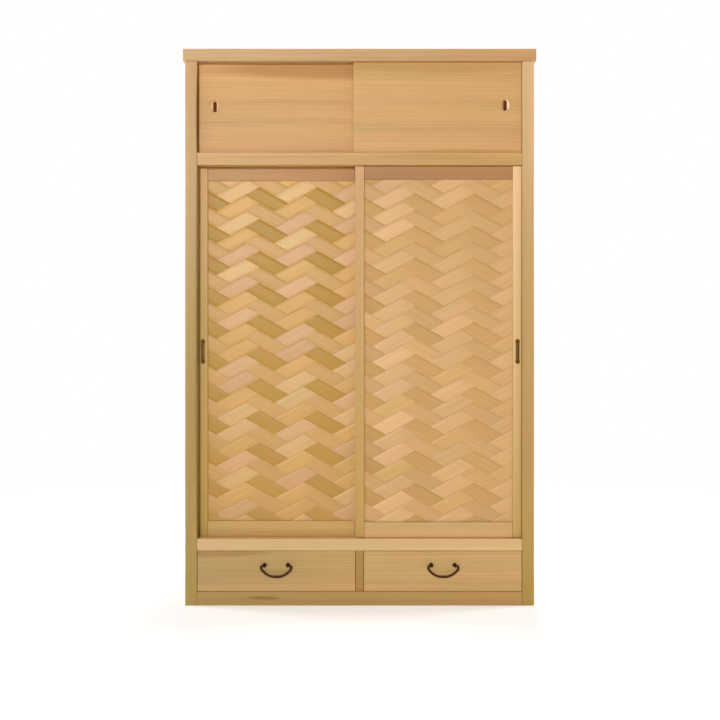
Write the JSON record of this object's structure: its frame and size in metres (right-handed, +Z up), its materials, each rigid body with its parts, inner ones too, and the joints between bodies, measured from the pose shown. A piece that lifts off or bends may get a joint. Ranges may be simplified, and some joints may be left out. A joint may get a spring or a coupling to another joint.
{
  "type": "tea ceremony cabinet",
  "caption": "Tall solid-wood tea utensil cabinet with board sliding doors above, herringbone woven sliding doors below, and a row of drawers with swinging iron bails at the foot.",
  "frame": {"origin": "bottom centre of the whole cabinet's box, on the floor", "axes": "+Z up, +X to the right as the doors are faced, +Y from the front towards the back"},
  "size_m": [1.072, 0.4658, 1.69],
  "materials": {
    "post_wood": "planed straight-grained softwood with a thin clear satin coat",
    "side_wood": "planed straight-grained softwood with a thin clear satin coat",
    "top_wood": "planed straight-grained softwood with a thin clear satin coat",
    "rail_wood": "planed straight-grained softwood with a thin clear satin coat",
    "bottom_rail_wood": "planed straight-grained softwood with a thin clear satin coat",
    "inside_wood": "planed softwood, left matt",
    "door_board_wood": "planed straight-grained softwood with a thin clear satin coat",
    "pull_wood": "hollowed softwood with a thin clear satin coat",
    "stile_wood": "planed straight-grained softwood with a thin clear satin coat",
    "door_rail_wood": "planed straight-grained softwood with a thin clear satin coat",
    "woven_wood": "thin split strips, alternately pale and darker, with a satin sheen",
    "drawer_front_wood": "planed straight-grained softwood with a thin clear satin coat",
    "drawer_box_wood": "planed pale softwood, left matt",
    "dark_bronze": "dark patinated, rubbed a little along its edges",
    "dark_iron": "forged, blackened and waxed"
  },
  "bodies": {
    "carcase": {"left_front_post": "post_wood", "right_front_post": "post_wood", "left_rear_post": "post_wood", "right_rear_post": "post_wood", "left_side_board": "side_wood", "right_side_board": "side_wood", "back_panel": "inside_wood", "back_bottom_rail": "inside_wood", "mid_rail": "rail_wood", "lower_sill": "rail_wood", "bottom_front_rail": "bottom_rail_wood", "drawer_divider": "bottom_rail_wood", "upper_floor_board": "inside_wood", "lower_floor_board": "inside_wood", "bottom_board": "inside_wood", "left_drawer_runner": "inside_wood", "centre_drawer_runner": "inside_wood", "right_drawer_runner": "inside_wood", "lower_shelf": "inside_wood", "upper_shelf": "inside_wood", "lower_shelf_left_cleat": "inside_wood", "lower_shelf_right_cleat": "inside_wood", "upper_shelf_left_cleat": "inside_wood", "upper_shelf_right_cleat": "inside_wood", "top_board": "top_wood"},
    "upper_left_sliding_door": {"upper_left_door": "door_board_wood", "upper_left_pull": "pull_wood"},
    "upper_right_sliding_door": {"upper_right_door": "door_board_wood", "upper_right_pull": "pull_wood"},
    "lower_left_sliding_door": {"lower_left_outer_stile": "stile_wood", "lower_left_inner_stile": "stile_wood", "lower_left_top_rail": "door_rail_wood", "lower_left_bottom_rail": "door_rail_wood", "lower_left_woven_panel": "woven_wood", "lower_left_pull": "dark_bronze"},
    "lower_right_sliding_door": {"lower_right_outer_stile": "stile_wood", "lower_right_inner_stile": "stile_wood", "lower_right_top_rail": "door_rail_wood", "lower_right_bottom_rail": "door_rail_wood", "lower_right_woven_panel": "woven_wood", "lower_right_pull": "dark_bronze"},
    "left_drawer": {"left_drawer_front": "drawer_front_wood", "left_drawer_outer_side": "drawer_box_wood", "left_drawer_inner_side": "drawer_box_wood", "left_drawer_back": "drawer_box_wood", "left_drawer_bottom": "drawer_box_wood", "left_handle_outer_post": "dark_iron", "left_handle_inner_post": "dark_iron"},
    "right_drawer": {"right_drawer_front": "drawer_front_wood", "right_drawer_outer_side": "drawer_box_wood", "right_drawer_inner_side": "drawer_box_wood", "right_drawer_back": "drawer_box_wood", "right_drawer_bottom": "drawer_box_wood", "right_handle_outer_post": "dark_iron", "right_handle_inner_post": "dark_iron"},
    "left_swinging_bail": {"left_bail": "dark_iron"},
    "right_swinging_bail": {"right_bail": "dark_iron"}
  },
  "joints": [
    {"name": "upper_left_door_slide", "type": "slide", "parent": "carcase", "child": "upper_left_sliding_door", "axis": [1, 0, 0], "range_m": [0, 0.474]},
    {"name": "upper_right_door_slide", "type": "slide", "parent": "carcase", "child": "upper_right_sliding_door", "axis": [1, 0, 0], "range_m": [-0.474, 0]},
    {"name": "lower_left_door_slide", "type": "slide", "parent": "carcase", "child": "lower_left_sliding_door", "axis": [1, 0, 0], "range_m": [0, 0.479]},
    {"name": "lower_right_door_slide", "type": "slide", "parent": "carcase", "child": "lower_right_sliding_door", "axis": [1, 0, 0], "range_m": [-0.479, 0]},
    {"name": "left_drawer_slide", "type": "slide", "parent": "carcase", "child": "left_drawer", "axis": [0, -1, 0], "range_m": [0, 0.3]},
    {"name": "right_drawer_slide", "type": "slide", "parent": "carcase", "child": "right_drawer", "axis": [0, -1, 0], "range_m": [0, 0.3]},
    {"name": "left_bail_swing", "type": "hinge", "parent": "left_drawer", "child": "left_swinging_bail", "pos_m": [-0.253, -0.2281, 0.1235], "axis": [-1, 0, 0], "range_deg": [0, 150]},
    {"name": "right_bail_swing", "type": "hinge", "parent": "right_drawer", "child": "right_swinging_bail", "pos_m": [0.253, -0.2281, 0.1235], "axis": [-1, 0, 0], "range_deg": [0, 150]}
  ]
}
